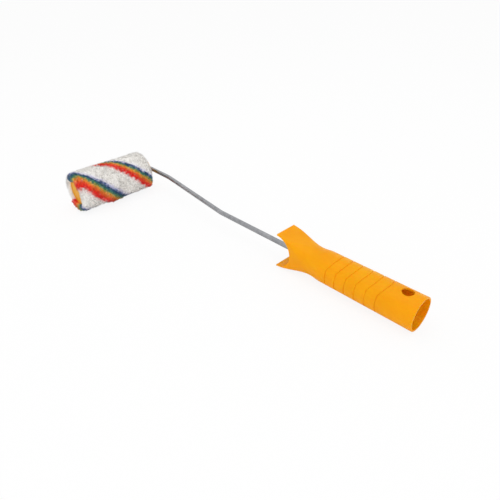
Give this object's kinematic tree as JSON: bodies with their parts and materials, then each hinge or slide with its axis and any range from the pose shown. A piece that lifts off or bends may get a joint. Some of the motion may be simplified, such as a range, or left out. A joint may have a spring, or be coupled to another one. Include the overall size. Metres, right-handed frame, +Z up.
{
  "type": "paint roller",
  "caption": "Small long-reach paint roller: striped pile sleeve turning on a bent steel rod, in a hollow forked plastic handle with a hang hole.",
  "frame": {"origin": "centre of the handle's open rear mouth", "axes": "+X out of the rear mouth, away from the sleeve; +Y along the sleeve's axle, towards the rod's right-angle bend; +Z up"},
  "size_m": [0.4532, 0.1143, 0.0522],
  "materials": {
    "pile": "dense knitted pile, off-white with slanting rainbow bands",
    "core_plastic": "natural off-white moulded plastic",
    "cap_plastic": "ochre moulded plastic, satin",
    "plated_rod": "drawn steel with a grey zinc plating",
    "washer_plastic": "natural nylon",
    "handle_plastic": "orange-yellow moulded plastic, satin"
  },
  "bodies": {
    "frame": {"handle": "handle_plastic", "frame_wire": "plated_rod", "stop_washer": "plated_rod", "thrust_washer": "washer_plastic", "push_nut": "plated_rod"},
    "roller": {"pile_cover": "pile", "core_tube": "core_plastic", "inner_end_cap": "cap_plastic", "outer_hub": "core_plastic", "outer_end_cap": "cap_plastic"}
  },
  "joints": [
    {"name": "roller_spin", "type": "hinge", "parent": "frame", "child": "roller", "pos_m": [-0.4271, 0, 0], "axis": [0, 1, 0], "continuous": true}
  ]
}
